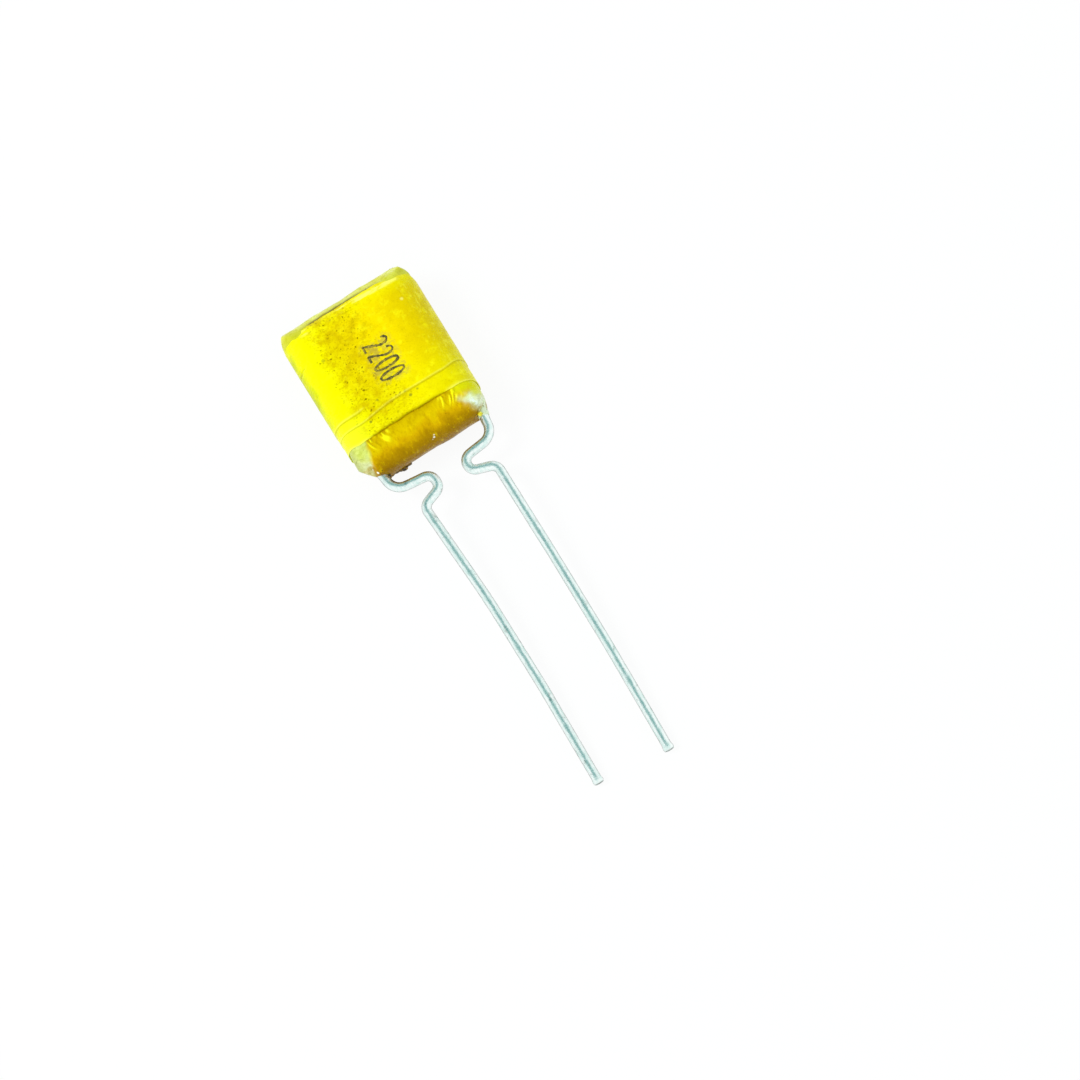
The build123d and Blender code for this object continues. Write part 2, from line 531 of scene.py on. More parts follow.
def resin_tone_and_shade(paint, down):
    """Amber, darker towards the end of the body, partly deeper resin and partly painted shade where the round
    end turns away; a painted shadow just under the film's edge, and bright folds under it.
    """
    # Painted shadow in the first stop, just under the film's edge; the dark later stops are partly deeper
    # resin and partly painted shade where the end turns away
    stops = [
        (2.05, linear(188, 156, 0)),
        (2.35, linear(210, 180, 0)),
        (2.9, linear(222, 192, 0)),
        (3.4, linear(212, 170, 0)),
        (3.9, linear(174, 134, 0)),
        (4.4, linear(156, 116, 0)),
        (5.0, linear(144, 102, 0)),
    ]
    colour = paint.ramp(down, 2.05, 5.0, stops)
    stretched = paint.vector("MULTIPLY", paint.place, (1.6, 0.7, 0.7))
    dull = paint.remap(paint.noise(2.0, detail=6.0, roughness=0.7, place=stretched), 0.46, 0.68)
    colour = paint.mix(paint.times(dull, 0.45), colour, linear(166, 122, 0))
    shine = paint.remap(paint.noise(2.6, detail=5.0, roughness=0.65, place=stretched), 0.52, 0.72)
    colour = paint.mix(paint.times(shine, 0.4), colour, linear(250, 222, 0))
    return paint.mix(paint.field("pleat"), colour, linear(255, 248, 20))


def resin_corners(paint, colour, down):
    """The pale and green parts beside the leads, with painted shade on the facets past each ridge and painted
    highlights on an edge and on the glassy resin.
    """
    streaky = paint.noise(2.8, detail=5.0, roughness=0.65)
    clouds = paint.remap(streaky, 0.32, 0.7)
    whiter = paint.remap(down, 2.7, 3.7)
    dark_pale = paint.mix(whiter, linear(190, 204, 88), linear(198, 206, 140))
    light_pale = paint.mix(whiter, linear(220, 234, 130), linear(224, 236, 184))
    pale = paint.mix(clouds, dark_pale, light_pale)
    pale = paint.mix(paint.remap(paint.x, -4.1, -4.75, 0.0, 0.8), pale, linear(168, 180, 104))
    colour = paint.mix(paint.times(paint.field("pale"), 0.92), colour, pale)
    colour = paint.mix(paint.times(paint.field("green"), 0.85), colour, linear(224, 226, 6))
    # Painted shade on the facets past the ridge beside each lead
    shade = paint.mix(clouds, linear(158, 146, 60), linear(214, 212, 156))
    colour = paint.mix(paint.field("painted_facet_shade"), colour, shade)
    # Painted highlight along the edge of the left corner
    colour = paint.mix(paint.times(paint.field("rim_highlight"), 0.7), colour, linear(246, 246, 90))
    # Painted glints on the glassy resin over the right solder joint
    painted_glint = paint.times(paint.field("glassy_highlight"), paint.remap(streaky, 0.3, 0.55))
    return paint.mix(painted_glint, colour, linear(236, 252, 240))


def top_resin_material():
    """The thin pale strip of resin past the film's far edge."""
    paint = Paint("pale_resin", specular=0.4)
    paint.shader.inputs["Specular Tint"].default_value = GILT
    patch = paint.remap(paint.noise(0.9, detail=4.0), 0.35, 0.65)
    colour = paint.mix(patch, linear(212, 208, 60), linear(226, 228, 110))
    colour = paint.mix(paint.times(paint.field("low"), 0.6), colour, linear(196, 198, 20))
    deep = paint.remap(paint.noise(3.0, detail=4.0), 0.5, 0.75)
    colour = paint.mix(paint.times(deep, 0.5), colour, linear(176, 172, 10))
    # Painted shadow in the gap at the film's far edge
    colour = paint.mix(paint.field("painted_shade_line"), colour, linear(112, 96, 0))
    paint.set("Base Color", colour)
    paint.set("Roughness", paint.remap(paint.noise(3.0), 0.3, 0.7, 0.28, 0.5))
    paint.bump(paint.noise(2.5, detail=5.0), 0.05)
    return paint.material


def wire_material():
    """Tinned wire: bright, slightly blue-green, with dull drawn streaks and dark scuffs."""
    paint = Paint("tinned_wire", metallic=1.0)
    paint.shader.inputs["Specular Tint"].default_value = (0.2, 0.17, 0.16, 1.0)  # painted shade: darker at its outline
    stretched = paint.vector("MULTIPLY", paint.place, (3.0, 0.6, 3.0))
    streak = paint.noise(2.2, detail=5.0, roughness=0.6, place=stretched)
    colour = paint.mix(paint.remap(streak, 0.38, 0.68), linear(248, 255, 253), linear(224, 246, 241))
    scuff = paint.remap(paint.noise(1.6, detail=6.0, roughness=0.75), 0.56, 0.68)
    colour = paint.mix(paint.times(scuff, 0.5), colour, linear(120, 138, 126))
    colour = paint.mix(paint.field("stain"), colour, linear(92, 66, 40))
    paint.set("Base Color", colour)
    paint.set("Roughness", paint.remap(streak, 0.3, 0.7, 0.3, 0.42))
    paint.bump(paint.noise(3.0, detail=5.0, roughness=0.6), 0.04)
    return paint.material


def solder_material(name, tint, dull):
    """Solder under a film of resin: pale and duller in clouds, with a thin wet coat and dark pits."""
    paint = Paint(name, specular=0.5, coat=0.3)
    cloud = paint.remap(paint.noise(2.6, detail=5.0, roughness=0.65), 0.38, 0.66)
    colour = paint.mix(cloud, tint, dull)
    pits = paint.remap(paint.noise(4.5, detail=2.0), 0.6, 0.68)
    colour = paint.mix(paint.times(pits, 0.8), colour, linear(96, 88, 20))
    paint.set("Base Color", colour)
    paint.set("Roughness", paint.remap(paint.noise(5.0), 0.3, 0.7, 0.15, 0.35))
    paint.bump(paint.noise(4.0, detail=4.0), 0.07)
    return paint.material


def sprayed_material():
    """Metal sprayed on the winding's ends: grey and sandy."""
    paint = Paint("sprayed_metal", metallic=0.8)
    grain = paint.noise(14.0, detail=6.0, roughness=0.8)
    paint.set("Base Color", paint.mix(grain, linear(150, 153, 150), linear(205, 208, 204)))
    paint.set("Roughness", paint.remap(grain, 0.3, 0.7, 0.55, 0.8))
    paint.bump(grain, 0.08)
    return paint.material


def winding_material():
    """Varnished paper with the fine lines of its many turns."""
    paint = Paint("winding", roughness=0.5)
    lines = paint.vector("MULTIPLY", paint.place, (0.3, 1.0, 9.0))
    grain = paint.noise(2.0, detail=5.0, place=lines)
    paint.set("Base Color", paint.mix(grain, linear(146, 104, 20), linear(206, 164, 60)))
    paint.bump(grain, 0.03)
    return paint.material


def ink_material():
    """Brown-black ink, worn through in places."""
    paint = Paint("ink", roughness=0.6, specular=0.3)
    wear = paint.remap(paint.noise(5.5, detail=5.0, roughness=0.7), 0.42, 0.66)
    paint.set("Base Color", paint.mix(wear, linear(82, 76, 38), linear(176, 156, 44)))
    paint.bump(wear, 0.01)
    return paint.material


def drop_material():
    """A drop of clear yellow resin, with a burnt speck in it."""
    paint = Paint("resin_drop", roughness=0.15)
    cloud = paint.remap(paint.noise(6.0), 0.35, 0.65)
    colour = paint.mix(cloud, linear(226, 212, 6), linear(248, 244, 70))
    colour = paint.mix(paint.spot((3.96, -6.2, 2.2), 0.07, 0.05), colour, linear(70, 60, 12))
    paint.set("Base Color", colour)
    return paint.material


def crust_material():
    """Burnt flux and resin: nearly black, with brown and amber lumps."""
    paint = Paint("flux_crust", roughness=0.5)
    lump = paint.remap(paint.noise(4.0, detail=5.0), 0.4, 0.62)
    paint.set("Base Color", paint.mix(lump, linear(58, 44, 28), linear(150, 116, 40)))
    paint.bump(paint.noise(8.0, detail=4.0), 0.05)
    return paint.material


# ---------------------------------------------------------------- the body


def front_share(grid):
    """1 on the front face, 0 on the back and low on the sides."""
    return step(grid[..., 2], HALF_DEPTH, 2 * HALF_DEPTH)


def turn_edge(x):
    """How far the turns' edges run off level, from the left of the body to the right."""
    fall = 0.33 * hump(x, -3.0, 1.6)
    return 0.4 * step(x, 3.3, 5.0) - fall


def film_rows():
    """Places along Y of the film's rows, close together where its turns step and at its edges."""
    low, high = FILM_LOW[1], FILM_HIGH[1]
    near = np.array([0.015, 0.04, 0.07, 0.11, 0.16])
    edges = []
    for centre in (OUTER_TURN_EDGE, SECOND_TURN_EDGE):
        edges += [*(centre - near), *(centre + near)]
    edges += [*(low + near), *(high - near)]
    plain = np.linspace(low, high, 100)
    away = np.min(np.abs(plain[:, None] - np.array(edges)), axis=1) > 0.03
    inside = plain[away & (plain > low + 0.2) & (plain < high - 0.2)]
    return np.sort(np.concatenate([[low, high], inside, edges]))


def make_film():
    """The film: its outer surface has stepped turns, ripples and a slight pillow shape."""
    rows = film_rows()
    flat = body_grid(rows, 0.0)
    x, y = flat[..., 0], flat[..., 1]
    front = front_share(flat)
    near_left = step(-x, 2.2, 2.9)
    turned = 1 - step(y, OUTER_TURN_EDGE - 0.015, OUTER_TURN_EDGE + 0.015)
    second = (1 - step(y, SECOND_TURN_EDGE - 0.015, SECOND_TURN_EDGE + 0.015)) * (1 - turned) * near_left
    sunk = FILM_TURN * turned + SECOND_TURN * second
    wave = 0.03 * ripple(flat, 2.6) + 0.012 * ripple(flat, 0.9, 5.0)
    wave = wave + 0.02 * ripple(flat * (0.25, 1.0, 1.0), 0.4, 9.0) * step(-y, 1.5, 3.5)
    sag = 0.07 * (np.abs(x) / 3.4) ** 2.5 * front
    crease = 0.06 * hump(y - 0.3 * (x + 4.4), 2.72, 0.06) * step(-x, 4.0, 4.4)
    off = wave * (0.25 + 0.75 * front) - sunk - sag - crease
    lift = np.maximum(off, -0.12)
    grid = flat + outward(flat) * lift[..., None]
    slide = turn_edge(x) * hump(y, OUTER_TURN_EDGE + 0.3, 1.2)
    slide = slide + 0.3 * step(-x, 3.6, 4.8) * hump(y, FILM_LOW[1], 0.7)
    slide = slide - 0.22 * step(np.abs(x + 0.2), 2.5, 3.7) * hump(y, FILM_HIGH[1], 0.8)
    fray = 0.03 * ripple(flat, 0.8, 3.0) + 0.02 * ripple(flat, 0.3, 4.0)
    slide = slide + fray * (hump(y, FILM_LOW[1], 0.3) + hump(y, FILM_HIGH[1], 0.3))
    grid[..., 1] += slide
    grid[..., 2] = np.maximum(grid[..., 2], 0.0)
    inner = body_grid(rows[::-6], FILM_WALL)
    inner[..., 1] += slide[::-6]
    faces = grid_faces(len(rows) + len(inner), LOOP_COUNT, row_wrap=True)
    points = np.concatenate([grid, inner])
    flat_points = points.reshape(-1, 3)
    piece = mesh_piece("film_wrap_skin", flat_points, faces, film_material(), ["film_wrap"])
    add_field(piece, "rim_highlight", film_rim_highlights(flat, points))
    add_field(piece, "painted_shade_line", film_shade_lines(flat, points))
    return piece


def film_rim_highlights(flat, points):
    """Painted highlight where an edge of the film catches the light: the top of each step, and both ends of
    the film.
    """
    x, y = flat[..., 0], flat[..., 1]
    left = step(-x, 2.1, 2.9)
    rim_highlight = hump(y, OUTER_TURN_EDGE + 0.05, 0.05) * 0.5
    rim_highlight = rim_highlight + hump(y, SECOND_TURN_EDGE + 0.05, 0.05) * left * 0.6
    ends = np.maximum(step(-x, 2.6, 3.6), step(x, 2.6, 3.4))
    rim_highlight = rim_highlight + hump(y, FILM_LOW[1] + 0.04, 0.09) * ends * 0.8
    rim_highlight = rim_highlight * (0.7 + 0.3 * ripple(flat, 0.5, 6.0))
    return pad_rows(rim_highlight, points)


def film_shade_lines(flat, points):
    """Painted shade where the film steps or creases: the foot of each step, its lower edge at the middle, and
    the crease at the left.
    """
    x, y = flat[..., 0], flat[..., 1]
    left = step(-x, 2.1, 2.9)
    painted_shade_line = hump(y, OUTER_TURN_EDGE - 0.05, 0.06) * 0.6
    painted_shade_line = painted_shade_line + hump(y, SECOND_TURN_EDGE - 0.05, 0.06) * left * 0.6
    middle = step(x, -3.4, -2.6) * step(-x, -2.9, -2.2)
    painted_shade_line = painted_shade_line + hump(y, FILM_LOW[1] + 0.02, 0.1) * middle
    painted_shade_line = painted_shade_line + hump(y - 0.3 * (x + 4.4), 2.72, 0.06) * step(-x, 4.0, 4.3) * 0.6
    return pad_rows(painted_shade_line, points)


def pad_rows(values, points):
    """Values for the outer rows, with nothing on the rows inside."""
    padded = np.zeros(points.shape[:2])
    padded[: len(values)] = values
    return padded


def add_field(piece, name, values):
    """Stores a mask from 0 to 1 on the piece's points."""
    layer = piece.data.attributes.new(name, "FLOAT", "POINT")
    layer.data.foreach_set("value", np.clip(values, 0, 1).astype(np.float32).ravel())


# Places across the body, and how far the resin reaches there
CORNER_RIDGE = (
    [-4.85, -4.77, -4.32, -3.94, -3.7, 4.1, 4.25, 4.5, 4.75, 4.85],
    [4.62, 4.72, 5.36, 5.76, 5.98, 6.05, 6.02, 5.74, 5.08, 4.85],
)


def lead_corner_limit(x, z):
    """How far the resin reaches beside the leads, where it slopes up to a ridge from front and back."""
    front = step(z, HALF_DEPTH, 3.2)
    corner = np.maximum(step(-x, 3.66 - 0.24 * front, 3.86 - 0.16 * front), step(x, 3.74, 4.0))
    roof = np.interp(x, *CORNER_RIDGE) - 0.42 * np.abs(z - HALF_DEPTH)
    return roof * corner + HALF_HEIGHT * (1 - corner)


def pleat_height(x, down):
    """Fine folds of the resin that run down from the film's edge near both ends of the winding."""
    lean = 0.3 * np.sign(x) * (down - 2.0) ** 2
    place = np.stack([x + lean, down * 0.2, np.zeros_like(x)], axis=-1)
    fold = ripple(place, 0.11, 4.0) * 2.0
    reach = step(down, 2.1, 2.3) * step(-down, -3.3, -2.5)
    right = step(x, 1.7, 2.5) * step(-x, -3.7, -3.3)
    left = step(-x, 1.5, 2.2) * step(x, -3.4, -3.1)
    return fold * reach * np.maximum(right, left)


def make_lead_end():
    rows = end_rows(-1, FILM_LOW[1] + 0.5, FILM_WALL, 0.045)
    grid = body_grid(rows, FILM_WALL)
    limit = lead_corner_limit(grid[..., 0], grid[..., 2])
    grid[..., 1] = -np.minimum(-grid[..., 1], limit)
    grid = relax(grid, 12)
    normal = outward(grid)
    x, y, z = grid[..., 0], grid[..., 1], grid[..., 2]
    front = front_share(grid)
    shown = step(FILM_LOW[1] - y, 0.0, 0.15)
    down = -y * math.cos(LEAN) - z * math.sin(LEAN)
    pleats = pleat_height(x, down) * front
    slump = 0.045 * ripple(grid, 1.5) + 0.02 * ripple(grid, 0.5, 6.0)
    pit = 0.05 * hump(x, 4.05, 0.12) * hump(down, 3.5, 0.12)
    lift = (0.045 * pleats + slump - pit) * shown * end_fade(grid)
    lift = lift + 0.05 * step(-y, 5.3, 5.9)
    grid = grid + normal * lift[..., None]
    points, faces = closed_end(grid)
    piece = mesh_piece("lead_end_resin", points, faces, resin_material(), ["lead_end_fill"])
    fray = 0.22 * ripple(grid, 0.45, 8.0)
    slanted = x + 0.3 * (down - 2.45)
    left = step(-slanted + fray, 3.24, 3.6)
    right = step(x - 0.45 * (down - 3.0) + 1.3 * fray, 2.95, 3.65) * step(down + fray, 2.7, 3.1)
    under = step(down + fray * 0.4, 3.68, 3.9)
    below = step(down + fray * 0.8, 3.85, 4.35)
    add_field(piece, "pale", np.maximum(left * (1 - under), right * (1 - below)))
    # Painted shade on the facets past the ridge beside each lead
    add_field(piece, "painted_facet_shade", np.maximum(step(-x, 3.78, 3.95) * under, step(x, 3.75, 3.95) * below))
    green = step(x + fray, 3.8, 4.4) * (1 - step(down + fray, 3.1, 3.6))
    upper = step(x + fray, 2.8, 3.6) * (1 - step(down + fray, 2.4, 2.9))
    add_field(piece, "green", np.maximum(green, upper))
    # Painted glints on the glassy resin over the right solder joint
    glassy_highlight = hump(x + 1.5 * fray - 0.5 * (down - 3.5), 3.95, 0.36) * hump(down, 3.5, 0.42)
    add_field(piece, "glassy_highlight", glassy_highlight * (1.1 + 0.9 * ripple(grid, 0.2, 5.0)))
    add_field(piece, "pleat", np.clip(pleats * 1.3, 0, 1))
    add_field(piece, "down", down / 5)
    # Painted highlight along the edge of the left corner
    edge = hump(slanted + fray * 0.5, -3.38, 0.06) * step(down, 2.6, 2.9) * step(-down, -3.7, -3.4)
    add_field(piece, "rim_highlight", edge * 0.6)
    return piece


def make_far_end():
    rows = end_rows(1, FILM_HIGH[1] - 0.5, FILM_WALL, 0.05)
    grid = relax(body_grid(rows, FILM_WALL), 50)
    x, y = grid[..., 0], grid[..., 1]
    past = y - FILM_HIGH[1]
    lift = 0.07 * ripple(grid, 1.9, 2.0) + 0.03 * ripple(grid, 0.5, 7.0)
    lift = lift * step(past, 0.0, 0.3)
    lift = lift + 0.11 * step(np.abs(x), 2.6, 3.8) * step(past, -0.4, -0.2) * step(-past, -0.9, 0.1)
    lift = lift * end_fade(grid)
    grid = grid + outward(grid) * lift[..., None]
    grid[..., 1] += (0.05 + 0.05 * ripple(grid * (1, 0, 0), 1.9, 2.0)) * step(past, 0.2, 0.8)
    points, faces = closed_end(grid)
    piece = mesh_piece("far_end_resin", points, faces, top_resin_material(), ["top_end_fill"])
    middle = step(x, -2.9, -2.4) * step(-x, -2.9, -2.0)
    # Painted shadow along the film's far edge
    add_field(piece, "painted_shade_line", hump(y, FILM_HIGH[1] + 0.1, 0.16) * middle)
    add_field(piece, "low", 1 - step(y, FILM_HIGH[1], FILM_HIGH[1] + 0.45))
    return piece


# ---------------------------------------------------------------- leads

WIRE_RADIUS = 0.325
LEFT_X, RIGHT_X = -3.655, 4.095  # where the leads leave the resin
LEAD_ROUTES = {
    # x and y of each corner, and the radius of the arc there
    "left_lead": [
        (LEFT_X, -2.4, 0),
        (LEFT_X, -5.2, 3.0),
        (LEFT_X + 0.25, -7.32, 1.05),
        (-0.81, -7.62, 0.6),
        (-0.81, -8.72, 0.6),
        (-2.32, -9.29, 0.65),
        (-1.94, -17.05, 60),
        (-1.9, -24.05, 60),
        (-2.05, -31.8, 0),
    ],
    "right_lead": [
        (RIGHT_X, -2.4, 0),
        (RIGHT_X, -5.2, 3.0),
        (RIGHT_X - 0.25, -7.59, 1.05),
        (1.45, -7.89, 0.6),
        (1.45, -8.89, 0.6),
        (3.08, -9.46, 0.65),
        (3.13, -17.05, 60),
        (3.1, -24.05, 60),
        (2.9, -32.4, 0),
    ],
}
TILT_START = -5.2  # past this the leads slope down to the floor
RING_COUNT = 28
RING_GAP = 0.07


def lead_line(name):
    """Points along a lead's middle: straight runs with a tangent arc at each corner."""
    route = LEAD_ROUTES[name]
    tip_y = route[-1][1]
    slope = (HALF_DEPTH - WIRE_RADIUS) / (TILT_START - tip_y)
    corners = [np.array([x, y, HALF_DEPTH - max(0.0, TILT_START - y) * slope]) for x, y, _ in route]
    line = [corners[0]]
    for before, corner, after, (_, _, radius) in zip(corners, corners[1:], corners[2:], route[1:]):
        back = (before - corner) / np.linalg.norm(before - corner)
        on = (after - corner) / np.linalg.norm(after - corner)
        half_turn = (math.pi - math.acos(float(back @ on))) / 2
        middle = back + on
        centre = corner + middle / np.linalg.norm(middle) * radius / math.cos(half_turn)
        first = corner + back * radius * math.tan(half_turn)
        axis_x = (first - centre) / radius
        axis_y = -back
        count = max(3, int(2 * half_turn * radius / RING_GAP))
        for angle in np.linspace(0, 2 * half_turn, count):
            line.append(centre + radius * (axis_x * math.cos(angle) + axis_y * math.sin(angle)))
    line.append(corners[-1])
    return even_line(np.array(line), RING_GAP)


def even_line(line, gap):
    """The same line with points about gap apart."""
    along = np.concatenate([[0], np.cumsum(np.linalg.norm(np.diff(line, axis=0), axis=1))])
    places = np.linspace(0, along[-1], int(along[-1] / gap))
    return np.stack([np.interp(places, along, line[:, axis]) for axis in range(3)], axis=-1)


def tube_grid(line, radii, count, squash=None):
    """Rings of points round a line, with a radius for each ring."""
    ahead = np.gradient(line, axis=0)
    ahead /= np.linalg.norm(ahead, axis=1, keepdims=True)
    side = np.cross(ahead, (0, 0, 1))
    side /= np.linalg.norm(side, axis=1, keepdims=True)
    up = np.cross(side, ahead)
    angles = np.arange(count) * 2 * math.pi / count
    flat = np.ones(len(line)) if squash is None else squash
    ring = side[:, None] * np.cos(angles)[None, :, None] / flat[:, None, None]
    ring = ring + up[:, None] * np.sin(angles)[None, :, None] * flat[:, None, None]
    return line[:, None] + ring * np.asarray(radii)[:, None, None]


def capped_tube(grid):
    """A tube's points and faces, with a face over each end."""
    rows, count = grid.shape[:2]
    faces = grid_faces(rows, count)
    faces.append(tuple(range(count))[::-1])
    faces.append(tuple((rows - 1) * count + c for c in range(count)))
    return grid.reshape(-1, 3), faces


def make_lead(name, nicks, stained):
    """A wire with small dents, pinched and burred where the cutter took it off."""
    line = lead_line(name)
    radii = WIRE_RADIUS * (1 + 0.012 * ripple(line, 1.3))
    to_tip = np.linalg.norm(line - line[-1], axis=1)
    radii = radii * (1 - 0.16 * (1 - step(to_tip, 0.0, 0.14)))
    squash = 1 - 0.16 * (1 - step(to_tip, 0.0, 0.5))
    grid = tube_grid(line, radii, RING_COUNT, squash)
    centre = line[:, None]
    out = (grid - centre) / np.linalg.norm(grid - centre, axis=-1, keepdims=True)
    dent = 0.006 * ripple(grid, 0.25, 3.0)
    for x, y, depth in nicks:
        gap = np.hypot(grid[..., 0] - x, (grid[..., 1] - y) * 0.7)
        dent = dent - depth * np.exp(-((gap / 0.16) ** 2)) * step(out[..., 2], 0.0, 0.6)
    grid = grid + out * dent[..., None]
    grid[..., 2] = np.maximum(grid[..., 2], 0.0)
    points, faces = capped_tube(grid)
    piece = mesh_piece(name + "_wire", points, faces, wire_paint, [name])
    near = step(grid[..., 1], -7.6, -6.6) * step(ripple(grid, 0.35, 2.0), -0.3, 0.5)
    inner = step(grid[..., 0] - centre[..., 0], 0.05, 0.25)
    add_field(piece, "stain", near * inner * stained)
    return piece


def make_joint(side, name, tint, dull, wide, low):
    """Solder round the lead, drawn out along it to where it leaves the resin."""
    line = lead_line(f"{side}_lead")
    line = line[(line[:, 1] < -3.0) & (line[:, 1] > low)]
    y = line[:, 1]
    radii = WIRE_RADIUS + 0.015 + wide * step(y, LEAD_END - 0.2, LEAD_END + 1.2)
    radii = radii * (1 + 0.1 * ripple(line, 0.5, 4.0))
    grid = tube_grid(line, radii, 40)
    centre = line[:, None]
    out = grid - centre
    grid = grid + out * (0.16 * ripple(grid, 0.4, 7.0))[..., None]
    points, faces = capped_tube(grid)
    material = solder_material(name, tint, dull)
    return mesh_piece(name, points, faces, material, [f"{side}_solder_joint"])


# ---------------------------------------------------------------- print and residue

GLYPHS = "2200"
GLYPH_TALL = 1.7
GLYPH_WIDE = 0.52
GLYPH_GAP = 0.8  # from one figure to the next
INK_WIDTH = 0.16
INK_START = (-0.38, 1.62)  # the first figure's foot and side: the figures stand across the body
INK_LIFT = 0.006


def arc(centre, radii, start, end, count=18):
    """Points of an ellipse's arc, with angles in degrees."""
    angles = np.radians(np.linspace(start, end, count))
    return np.stack([centre[0] + radii[0] * np.cos(angles), centre[1] + radii[1] * np.sin(angles)], axis=-1)


def glyph_stroke(figure):
    """The stroke of a 0 or a 2, in a box from 0 to 1 across and up."""
    if figure == "0":
        return arc((0.5, 0.5), (0.5, 0.5), 90, 450, 36)
    bowl = arc((0.5, 0.74), (0.48, 0.26), 165, -35)
    return np.concatenate([bowl, [(0.04, 0.02)], [(1.0, 0.02)]])


def make_print(film):
    """The figures as ribbons of ink that follow the film."""
    film_points = [vertex.co / MM for vertex in film.data.vertices]
    tree = BVHTree.FromPolygons(film_points, [face.vertices for face in film.data.polygons])
    above = 2 * FILM_HIGH[2]
    points, faces = [], []
    for index, figure in enumerate(GLYPHS):
        stroke = glyph_stroke(figure)
        x = INK_START[0] + stroke[:, 1] * GLYPH_TALL
        y = INK_START[1] - index * GLYPH_GAP - stroke[:, 0] * GLYPH_WIDE
        line = even_line(np.stack([x, y, np.zeros(len(x))], axis=-1), 0.04)
        ahead = np.gradient(line, axis=0)
        side = np.cross(ahead, (0, 0, 1))
        side /= np.linalg.norm(side, axis=1, keepdims=True)
        wide = INK_WIDTH / 2 * (1 + 0.35 * ripple(line, 0.12, index))
        start = len(points)
        for place, out, reach in zip(line, side, wide):
            for share in (1, -1):
                edge = place + out * reach * share
                hit = tree.ray_cast(Vector((edge[0], edge[1], above)), Vector((0, 0, -1)))[0]
                points.append((edge[0], edge[1], hit.z - INK_LIFT))
                points.append((edge[0], edge[1], hit.z + INK_LIFT))
        faces += ribbon_faces(start, len(line))
    return mesh_piece("printed_figures", np.array(points), faces, ink_material())


def ribbon_faces(start, count):
    """Faces of a closed ribbon with four points to a ring."""
    faces = []
    for row in range(count - 1):
        here, there = start + 4 * row, start + 4 * row + 4
        for first, second in ((0, 1), (1, 3), (3, 2), (2, 0)):
            faces.append((here + first, here + second, there + second, there + first))
    last = start + 4 * (count - 1)
    faces.append((start, start + 2, start + 3, start + 1))
    faces.append((last, last + 1, last + 3, last + 2))
    return faces


def blob_grid(centre, size, seed, count=28):
    """A lump: a ball whose surface is pushed in and out."""
    polar = np.linspace(0.02, math.pi - 0.02, count // 2 + 1)[:, None]
    around = np.arange(count)[None, :] * 2 * math.pi / count
    ball = np.stack([
        np.sin(polar) * np.cos(around),
        np.sin(polar) * np.sin(around),
        np.cos(polar) * np.ones_like(around),
    ], axis=-1)
    ball = ball * (1 + 0.35 * ripple(ball, 0.55, seed))[..., None]
    return np.array(centre) + ball * np.array(size)


def make_lumps(name, material, lumps):
    """Several lumps as one piece."""
    points, faces = [], []
    for seed, (centre, size) in enumerate(lumps):
        more, shape = capped_tube(blob_grid(centre, size, seed))
        shift = sum(len(part) for part in points)
        points.append(more)
        faces += [tuple(corner + shift for corner in face) for face in shape]
    return mesh_piece(name, np.concatenate(points), faces, material)


# Places of the lumps at the resin's lower edge, and their sizes
CRUST_LUMPS = [
    ((-3.2, -6.15, 1.7), (0.13, 0.2, 0.16)),
    ((-3.3, -6.0, 1.5), (0.16, 0.12, 0.14)),
    ((-3.0, -5.95, 1.2), (0.2, 0.09, 0.12)),
    ((-2.65, -5.93, 1.15), (0.22, 0.08, 0.12)),
    ((-2.35, -5.97, 1.15), (0.14, 0.1, 0.12)),
    ((-2.1, -6.02, 1.15), (0.2, 0.13, 0.13)),
    ((-1.75, -5.94, 1.15), (0.22, 0.07, 0.1)),
]


# ---------------------------------------------------------------- build

wire_paint = wire_material()
film = make_film()
make_print(film)
make_lead_end()
make_far_end()
make_lead("left_lead", [(-2.2, -10.6, 0.03), (-1.95, -21.0, 0.03), (-1.98, -27.4, 0.04)], 1.0)
make_lead("right_lead", [(3.1, -15.0, 0.03), (3.0, -27.0, 0.04)], 0.0)
make_joint("left", "left_solder", linear(250, 246, 214), linear(190, 180, 90), 0.05, -5.95)
make_joint("right", "right_solder", linear(226, 240, 206), linear(206, 224, 168), 0.2, -6.2)
make_lumps("flux_crust", crust_material(), CRUST_LUMPS)
make_lumps("resin_drop", drop_material(), [((3.86, -6.06, 2.3), (0.15, 0.15, 0.16))])

for node_name in ("left_end_spray", "right_end_spray"):
    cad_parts[node_name].data.materials.clear()
    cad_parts[node_name].data.materials.append(sprayed_material())
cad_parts["wound_element"].data.materials.clear()
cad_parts["wound_element"].data.materials.append(winding_material())

# ---------------------------------------------------------------- stage, light and camera

SHOT_TILT = math.radians(65)  # height of the camera above the floor's plane
SHOT_ROLL = math.radians(31.67)
SHOT_DISTANCE = 2000.0
SHOT_WIDTH = 69.7  # what the frame spans at that distance
SHOT_OFFSET = (9.52, -9.93)  # from the body's middle to the picture's, to the right and up
SENSOR = 36.0
FLOOR_REACH = 1.5  # in metres
FLOOR_GLOW = 0.92  # how much of the floor's look is plain white, without shadow
DARK_SKY = (0.14, 0.36, 0.35, 1)
BRIGHT_SKY = (1.0, 1.02, 1.02, 1)


def make_camera():
    turn = Matrix.Rotation(math.pi / 2 - SHOT_TILT, 3, "X") @ Matrix.Rotation(-SHOT_ROLL, 3, "Z")
    place = turn @ Vector((*SHOT_OFFSET, SHOT_DISTANCE)) * MM
    data = bpy.data.cameras.new("camera")
    data.sensor_width = SENSOR
    data.lens = SHOT_DISTANCE * SENSOR / SHOT_WIDTH
    data.clip_start = 0.01
    camera = bpy.data.objects.new("camera", data)
    camera.matrix_world = Matrix.Translation(place) @ turn.to_4x4()
    bpy.context.scene.collection.objects.link(camera)
    bpy.context.scene.camera = camera


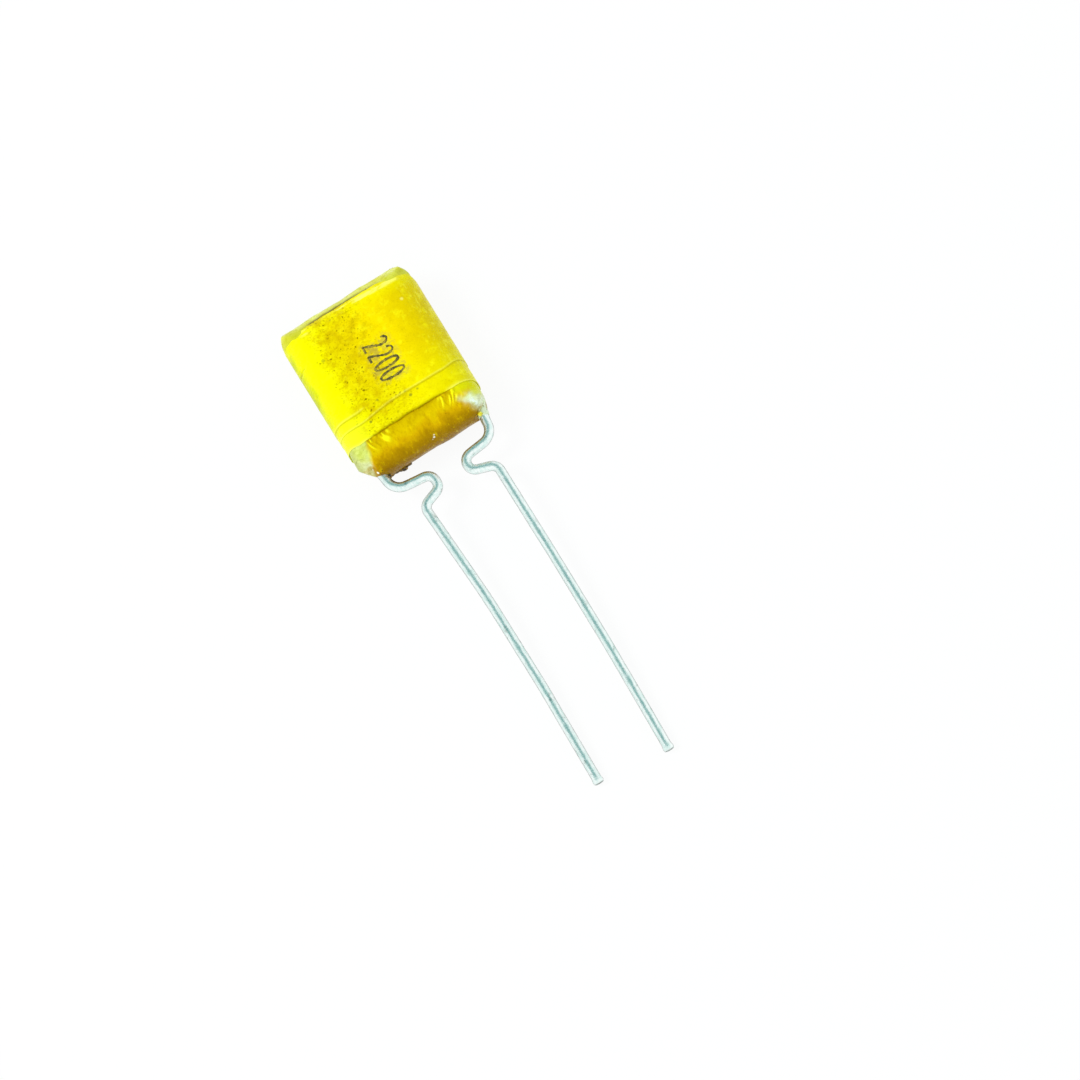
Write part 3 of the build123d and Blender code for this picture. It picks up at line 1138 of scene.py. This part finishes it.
def make_floor():
    """A wide pale floor. It looks white to the camera and in reflections, and keeps a soft shadow."""
    mesh = bpy.data.meshes.new("floor")
    signs = ((-1, -1), (1, -1), (1, 1), (-1, 1))
    mesh.from_pydata([(x * FLOOR_REACH, y * FLOOR_REACH, 0) for x, y in signs], [], [(0, 1, 2, 3)])
    floor = bpy.data.objects.new("floor", mesh)
    bpy.context.scene.collection.objects.link(floor)
    material = bpy.data.materials.new("floor")
    material.use_nodes = True
    tree = material.node_tree
    tree.nodes.clear()
    output = tree.nodes.new("ShaderNodeOutputMaterial")
    mixed = tree.nodes.new("ShaderNodeMixShader")
    matte = tree.nodes.new("ShaderNodeBsdfDiffuse")
    matte.inputs["Color"].default_value = (0.88, 0.88, 0.88, 1)
    glow = tree.nodes.new("ShaderNodeEmission")
    glow.inputs["Color"].default_value = (1, 1, 1, 1)
    glow.inputs["Strength"].default_value = 1.0
    rays = tree.nodes.new("ShaderNodeLightPath")
    seen = tree.nodes.new("ShaderNodeMath")
    seen.operation = "MAXIMUM"
    tree.links.new(rays.outputs["Is Camera Ray"], seen.inputs[0])
    tree.links.new(rays.outputs["Is Glossy Ray"], seen.inputs[1])
    share = tree.nodes.new("ShaderNodeMath")
    share.operation = "MULTIPLY"
    share.inputs[1].default_value = FLOOR_GLOW
    tree.links.new(seen.outputs[0], share.inputs[0])
    tree.links.new(share.outputs[0], mixed.inputs[0])
    tree.links.new(matte.outputs[0], mixed.inputs[1])
    tree.links.new(glow.outputs[0], mixed.inputs[2])
    tree.links.new(mixed.outputs[0], output.inputs["Surface"])
    mesh.materials.append(material)


def make_lamp(name, place, size, power):
    """A square lamp that faces the origin. It doesn't show in reflections."""
    data = bpy.data.lights.new(name, "AREA")
    data.size = size
    data.energy = power
    lamp = bpy.data.objects.new(name, data)
    lamp.location = place
    lamp.visible_glossy = False
    lamp.rotation_euler = Vector(place).to_track_quat("Z", "Y").to_euler()
    bpy.context.scene.collection.objects.link(lamp)


def make_world():
    """White to the camera. For the rest a soft sky, dark where the flat front would mirror it."""
    world = bpy.data.worlds.new("world")
    world.use_nodes = True
    tree = world.node_tree
    tree.nodes.clear()
    place = tree.nodes.new("ShaderNodeTexCoord")
    facing = tree.nodes.new("ShaderNodeVectorMath")
    facing.operation = "DOT_PRODUCT"
    facing.inputs[1].default_value = (0.0, math.sin(LEAN), math.cos(LEAN))
    tree.links.new(place.outputs["Generated"], facing.inputs[0])
    level = tree.nodes.new("ShaderNodeMapRange")
    level.interpolation_type = "SMOOTHSTEP"
    for key, value in (("From Min", 0.95), ("From Max", 0.75)):
        level.inputs[key].default_value = value
    tree.links.new(facing.outputs["Value"], level.inputs["Value"])
    shades = tree.nodes.new("ShaderNodeValToRGB")
    shades.color_ramp.elements[0].color = DARK_SKY
    shades.color_ramp.elements[1].color = BRIGHT_SKY
    tree.links.new(level.outputs["Result"], shades.inputs["Fac"])
    sky = tree.nodes.new("ShaderNodeBackground")
    sky.inputs["Strength"].default_value = 1.0
    tree.links.new(shades.outputs["Color"], sky.inputs["Color"])
    white = tree.nodes.new("ShaderNodeBackground")
    white.inputs["Color"].default_value = (1, 1, 1, 1)
    white.inputs["Strength"].default_value = 1.0
    rays = tree.nodes.new("ShaderNodeLightPath")
    mixed = tree.nodes.new("ShaderNodeMixShader")
    tree.links.new(rays.outputs["Is Camera Ray"], mixed.inputs[0])
    tree.links.new(sky.outputs[0], mixed.inputs[1])
    tree.links.new(white.outputs[0], mixed.inputs[2])
    output = tree.nodes.new("ShaderNodeOutputWorld")
    tree.links.new(mixed.outputs[0], output.inputs["Surface"])
    bpy.context.scene.world = world


make_camera()
make_floor()
make_world()
make_lamp("key", (-0.3, 0.12, 0.4), 0.22, 1.25)
bpy.context.scene.view_settings.view_transform = "Standard"
